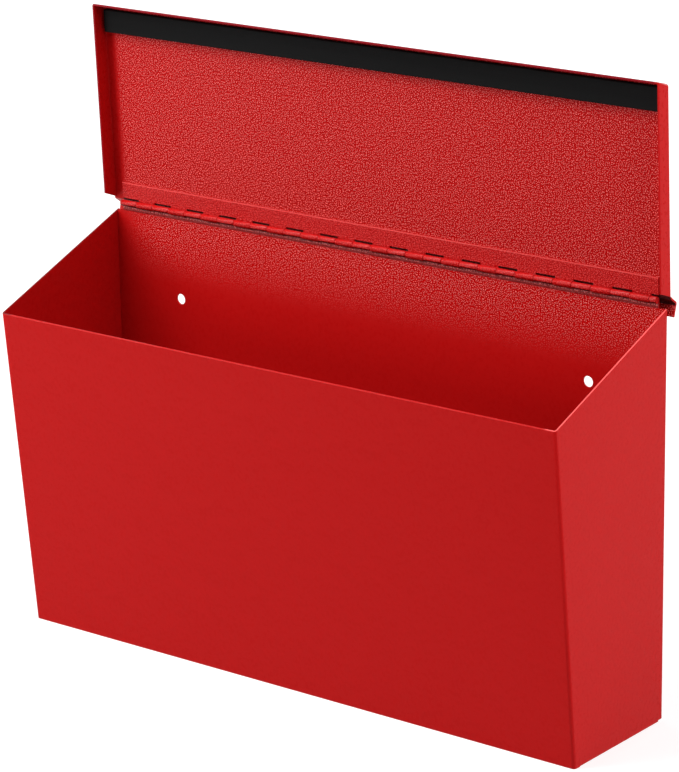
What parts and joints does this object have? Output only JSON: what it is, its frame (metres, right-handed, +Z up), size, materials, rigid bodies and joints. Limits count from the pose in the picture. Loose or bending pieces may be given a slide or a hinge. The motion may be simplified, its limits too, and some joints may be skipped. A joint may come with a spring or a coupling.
{
  "type": "wall mailbox",
  "caption": "Wall mailbox of folded painted steel: slant-topped open box, hinged lid with flanges, rear rain lip and soft strip under its front edge.",
  "frame": {"origin": "on the rear face of the back, midway between the two wall screws", "axes": "+X to the right along the hinge, +Y back into the wall, +Z up"},
  "size_m": [0.37, 0.1035, 0.3398],
  "materials": {
    "red_paint": "satin red powder coat with a fine pebbled texture",
    "pin_steel": "plain drawn steel wire",
    "black_rubber": "matt black sponge rubber"
  },
  "bodies": {
    "box": {"front_and_sides": "red_paint", "back_and_base": "red_paint", "body_hinge_leaf": "red_paint", "hinge_pin": "pin_steel"},
    "lid": {"lid": "red_paint", "lid_hinge_leaf": "red_paint", "cushion_strip": "black_rubber"}
  },
  "joints": [
    {"name": "lid_hinge", "type": "hinge", "parent": "box", "child": "lid", "pos_m": [0, -0.00105, 0.0498], "axis": [1, 0, 0], "range_deg": [-14.5, 110.9]}
  ]
}
